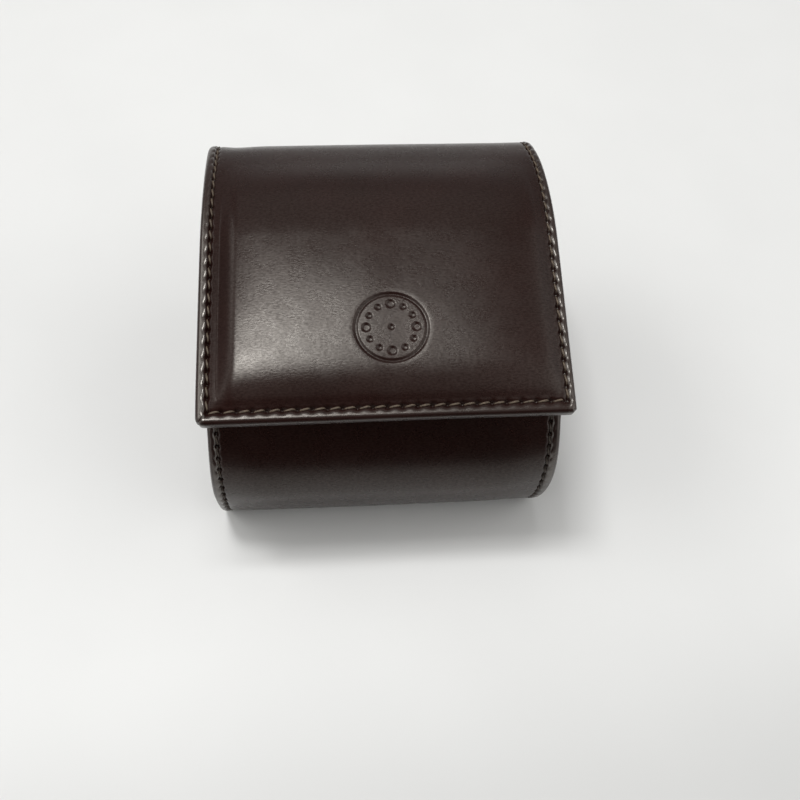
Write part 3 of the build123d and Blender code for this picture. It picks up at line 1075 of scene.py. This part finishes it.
def end_profile():
    """From the middle of the outer face out to the rim, over it and back behind."""
    rim_from = end_rim_x - rim_radius
    face_share = 1 - fillet_share
    rings = [(end_face_x, rim_inset, share) for share in np.linspace(0.0, face_share, 22)]
    for angle in np.linspace(0.15, pi / 2, 5):
        rings.append((end_face_x + 1 - cos(angle), rim_inset, face_share + fillet_share * sin(angle)))
    rings += [(x, rim_inset, 1.0) for x in np.linspace(end_face_x + 1.6, rim_from, 5)]
    for angle in np.linspace(0.3, pi - 0.3, 7):
        inset = rim_inset - rim_radius + rim_radius * cos(angle)
        rings.append((rim_from + rim_radius * sin(angle), inset, 1.0))
    rings += [(x, 0.03, 1.0) for x in (rim_from, end_back_x + 0.05)]
    return rings + [(end_back_x + 0.05, rim_inset, share) for share in (0.97, 0.5, 0.0)]


def end_relief(ring, x, share):
    """A soft, slightly padded face."""
    if x != end_face_x:
        return 0.0
    back, up = (ring - loop_middle).T
    uneven = 0.07 * np.sin(0.19 * back + 0.8) * np.cos(0.23 * up) * (1 - share**4)
    return 0.55 * (1 - share**2) + uneven


lining_x, lining_out = (corner[0] for corner in cad_box("right_end_lining"))
lining_profile = [(lining_x, 0.1, share) for share in np.linspace(0.0, 0.97, 14)]
lining_profile += [(lining_x + 0.08, 0.1, 0.992), (lining_x + 0.3, 0.1, 1.0)]
lining_profile += [(lining_out - 0.05, 0.1, share) for share in (1.0, 0.5, 0.0)]
for sign, side in ((-1, "left"), (1, "right")):
    panel = add_end_piece(f"{side}_end_panel", sign, end_profile(), leather, end_relief)
    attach(panel, "case")
    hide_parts(f"{side}_end_leather")
    cloth = add_end_piece(f"{side}_end_suede", -sign, [(-x, i, k) for x, i, k in lining_profile], suede)
    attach(cloth, "case")
    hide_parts(f"{side}_end_lining")

# ---- cushion

core_end = cad_box("cushion_core")[1][0]
cover_low, cover_high = cad_box("cushion_cover")
cushion_seam = cad_box("cushion_right_end")[0][0]
cushion_middle = (cover_low + cover_high) / 2
cushion_corner = 15.0
around = 132  # points round the cushion
around_core = 90


def tube_mesh(name, stations, count, material):
    """A closed form lofted through (x, shrink, share) stations of the cushion's section."""
    _, half_y, half_z = (cover_high - cover_low) / 2
    section = []
    for quarter, (sign_y, sign_z) in enumerate([(1, 1), (-1, 1), (-1, -1), (1, -1)]):
        angles = np.linspace(0, pi / 2, 14) + quarter * pi / 2
        centre = np.array([sign_y * (half_y - cushion_corner), sign_z * (half_z - cushion_corner)])
        section.append(centre + cushion_corner * ahead(angles))
    section = evenly(np.concatenate(section + [section[0][:1]]), count)
    points = []
    for x, shrink, share in stations:
        ring = (section - unit_rows(section) * shrink) * share + cushion_middle[1:]
        points.append(np.column_stack([np.full(count, x), ring]))
    faces = grid_faces(len(stations), count, wrap=True, flip=True)
    run = np.linspace(0, 2 * (half_y + half_z), count)
    _, _, uvs = surface_grid(run, [x for x, _, _ in stations])
    return add_mesh(name, np.array(points), faces, material, uvs)


def points_of(obj):
    return np.array([vertex.co for vertex in obj.data.vertices])


def move_points(obj, points):
    obj.data.vertices.foreach_set("co", points.ravel())
    obj.data.update()


def inflate(obj, pinned, frames, pressure, cap):
    """Blender's cloth with air pressure, applied, with no point moved further than cap."""
    before = points_of(obj)
    group = obj.vertex_groups.new(name="seam")
    group.add(pinned, 1.0, "ADD")
    cloth = obj.modifiers.new("cloth", "CLOTH")
    settings = dict(quality=6, mass=0.15, vertex_group_mass="seam")
    settings |= dict(tension_stiffness=8, compression_stiffness=8, shear_stiffness=4, bending_stiffness=0.4)
    settings |= dict(use_pressure=True, uniform_pressure_force=pressure)
    for key, value in settings.items():
        setattr(cloth.settings, key, value)
    cloth.settings.effector_weights.gravity = 0
    cloth.collision_settings.use_collision = False
    cloth.point_cache.frame_start = 1
    cloth.point_cache.frame_end = frames
    scene = bpy.context.scene
    for number in range(1, frames + 1):
        scene.frame_set(number)
    moved = points_of(obj.evaluated_get(bpy.context.evaluated_depsgraph_get())) - before
    obj.modifiers.remove(cloth)
    scene.frame_set(1)
    length = np.linalg.norm(moved, axis=1)[:, None]
    moved *= np.minimum(1, cap * MM / np.maximum(length, 1e-9))
    obj.vertex_groups.clear()
    move_points(obj, before + moved)


side_stations = steps((-cushion_seam, 1.1), (cushion_seam, 1.1))
cover_stations = [(x, 1.5, 1.0) for x in side_stations]
cushion_cover = tube_mesh("cushion_suede_cover", cover_stations, around, cushion_suede)
last_ring = around * (len(side_stations) - 1)
ends = [*range(around), *range(last_ring, last_ring + around)]
inflate(cushion_cover, ends, frames=20, pressure=5.0, cap=1.3)
gathered = points_of(cushion_cover) / MM
to_seam = cushion_seam - np.abs(gathered[:, 0])
radial = gathered[:, 1:] - cushion_middle[1:]
angle_round = np.arctan2(radial[:, 1], radial[:, 0])
pucker = 0.22 * np.cos(46 * angle_round + 1.3 * np.sin(5 * angle_round)) * np.exp(-to_seam / 3.2)
pucker *= np.clip(to_seam / 0.8, 0, 1)
waves = 0.10 * np.sin(0.35 * gathered[:, 0] + 3 * angle_round)
gathered[:, 1:] += unit_rows(radial) * (pucker + waves)[:, None]
move_points(cushion_cover, gathered * MM)
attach(cushion_cover, "cushion")
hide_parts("cushion_cover")

core_stations = [(0.3 - core_end, 3.2, share) for share in (0.0, 0.5, 0.9)]
core_stations += [(x, 2.6, 1.0) for x in np.linspace(1 - core_end, core_end - 1, 24)]
core_stations += [(core_end - 0.3, 3.2, share) for share in (0.9, 0.5, 0.0)]
cushion_foam = tube_mesh("cushion_foam", core_stations, around_core, foam)
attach(cushion_foam, "cushion")
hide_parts("cushion_core")

cap_back = cushion_seam - 0.4
cap_stations = [(cap_back, 2.2, 0.0), (cap_back, 2.2, 0.6), (cap_back, 1.7, 1.0)]
for angle in np.linspace(0.2, pi - 0.3, 7):
    cap_stations.append((cushion_seam + 0.1 - 0.45 * cos(angle), 1.45 - 0.75 * sin(angle), 1.0))
cap_stations += [(cushion_seam + 0.42, 1.9, 1.0), (cushion_seam + 0.5, 2.6, 0.99)]
for share in np.linspace(0.95, 0.0, 16):
    cap_stations.append((cushion_seam + 0.5 + 0.55 * (1 - share**2) ** 0.6, 2.6, 0.99 * share))
left_stations = [(-x, shrink, share) for x, shrink, share in cap_stations[::-1]]
for side, stations in (("left", left_stations), ("right", cap_stations)):
    end_cap = tube_mesh(f"cushion_{side}_cap", stations, around, cushion_suede)
    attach(end_cap, "cushion")
    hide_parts(f"cushion_{side}_end")

# ---- carried CAD nodes

kinds = dict(magnet=magnet, board=board, lining=suede, stitching=thread, lid_padding=foam)
kinds |= dict(cushion_core=foam, cushion=cushion_suede, leather=leather)
for name, node in frame["nodes"].items():
    node.data.materials.clear()
    node.data.materials.append(next(kinds[kind] for kind in kinds if kind in name))

# ---- floor, light and camera

floor_half = 1600.0
floor_front = -128.0
floor_corners = [(-floor_half, floor_front, 0), (floor_half, floor_front, 0)]
floor_corners += [(floor_half, floor_half, 0), (-floor_half, floor_half, 0)]
floor = add_mesh("floor", floor_corners, [(0, 1, 2, 3)], floor_material("floor"))
floor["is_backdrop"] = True

world = bpy.data.worlds.new("studio")
bpy.context.scene.world = world
sky = Nodes(world)


def towards(x, y, z):
    """How near a direction of the sky is to that axis, from -1 to 1."""
    node = sky.add("ShaderNodeVectorMath", operation="DOT_PRODUCT")
    node.inputs[1].default_value = Vector((x, y, z)).normalized()
    sky.feed(node.inputs[0], sky_direction.outputs["Generated"])
    return node.outputs["Value"]


sky_direction = sky.add("ShaderNodeTexCoord")
left_wall = sky.range(towards(-0.82, -0.38, 0.42), 0.60, 0.95)
right_wall = sky.range(towards(0.82, -0.34, 0.46), 0.60, 0.95)
low_down = sky.range(towards(0, 0, 1), 0.06, -0.01)
behind = sky.math("MULTIPLY", low_down, sky.range(towards(0, 1, 0), 0.4, 0.8))
to_right = sky.range(towards(1, 0, 0), -0.06, 0.12)
behind = sky.math("MULTIPLY", behind, sky.math("MULTIPLY_ADD", to_right, 0.7, 0.3))
ceiling = sky.range(towards(0.0, 0.65, 0.76), 0.90, 0.98)
# A long bright strip up on the left, which lights the lid's left edge
from_strip = sky.math("ABSOLUTE", sky.math("ADD", towards(1, 0, 0), 0.66))
strip = sky.range(from_strip, 0.15, 0.05)
for axis, low, high in (((0, 0, 1), 0.40, 0.55), ((0, 1, 0), -0.25, 0.0), ((0, 1, 0), 0.75, 0.40)):
    strip = sky.math("MULTIPLY", strip, sky.range(towards(*axis), low, high))
level = 0.20
for patch, strength in ((left_wall, 0.85), (right_wall, 1.15), (behind, 0.5), (ceiling, 0.28), (strip, 2.9)):
    level = sky.math("MULTIPLY_ADD", patch, strength, level)
# The dark side of whoever holds the camera
dark = sky.range(towards(0.0, -0.95, 0.25), 0.66, 0.92)
level = sky.math("MULTIPLY", level, sky.math("SUBTRACT", 1.0, sky.math("MULTIPLY", dark, 0.92)))
# The camera itself sees an even, nearly white back
seen = sky.add("ShaderNodeLightPath").outputs["Is Camera Ray"]
level = sky.math("MULTIPLY", level, sky.math("SUBTRACT", 1.0, seen))
level = sky.math("ADD", level, sky.math("MULTIPLY", seen, 0.80))
background = sky.tree.nodes["Background"].inputs
sky.feed(background["Color"], (1.0, 1.0, 0.985, 1))
sky.feed(background["Strength"], level)


def area_light(name, size, place_at, watts):
    """A rectangle of light that faces the origin, in metres. The sizes of the key, which hangs to
    the left, run along Y and X, and those of the fill, which hangs behind, along X and Y."""
    data = bpy.data.lights.new(name, "AREA")
    data.shape = "RECTANGLE"
    data.size, data.size_y = size
    data.energy = watts
    facing = (-place_at).to_track_quat("-Z", "Y").to_matrix().to_4x4()
    add_object(name, data).matrix_world = Matrix.Translation(place_at) @ facing


area_light("key", (0.18, 0.26), Vector((-0.19, 0.03, 0.98)) * 1.2, 5.8)
area_light("fill", (0.24, 0.07), Vector((0.0, 0.055, 0.99)) * 1.2, 1.6)

camera_data = bpy.data.cameras.new("camera")
camera_data.lens = 45
camera_data.sensor_width = 36
camera = add_object("camera", camera_data)
camera_right = Vector((0.99630704, -0.07358471, 0.04424444))
camera_up = Vector((0.03479181, 0.81708172, 0.57547111))
camera_ahead = Vector((0.07849719, 0.57180657, -0.81662442))
turned = Matrix((camera_right, camera_up, -camera_ahead)).transposed().to_4x4()
camera.matrix_world = Matrix.Translation((-0.0159, -0.1757, 0.2507)) @ turned
bpy.context.scene.camera = camera
bpy.context.scene.view_settings.view_transform = "Standard"

low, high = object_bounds()
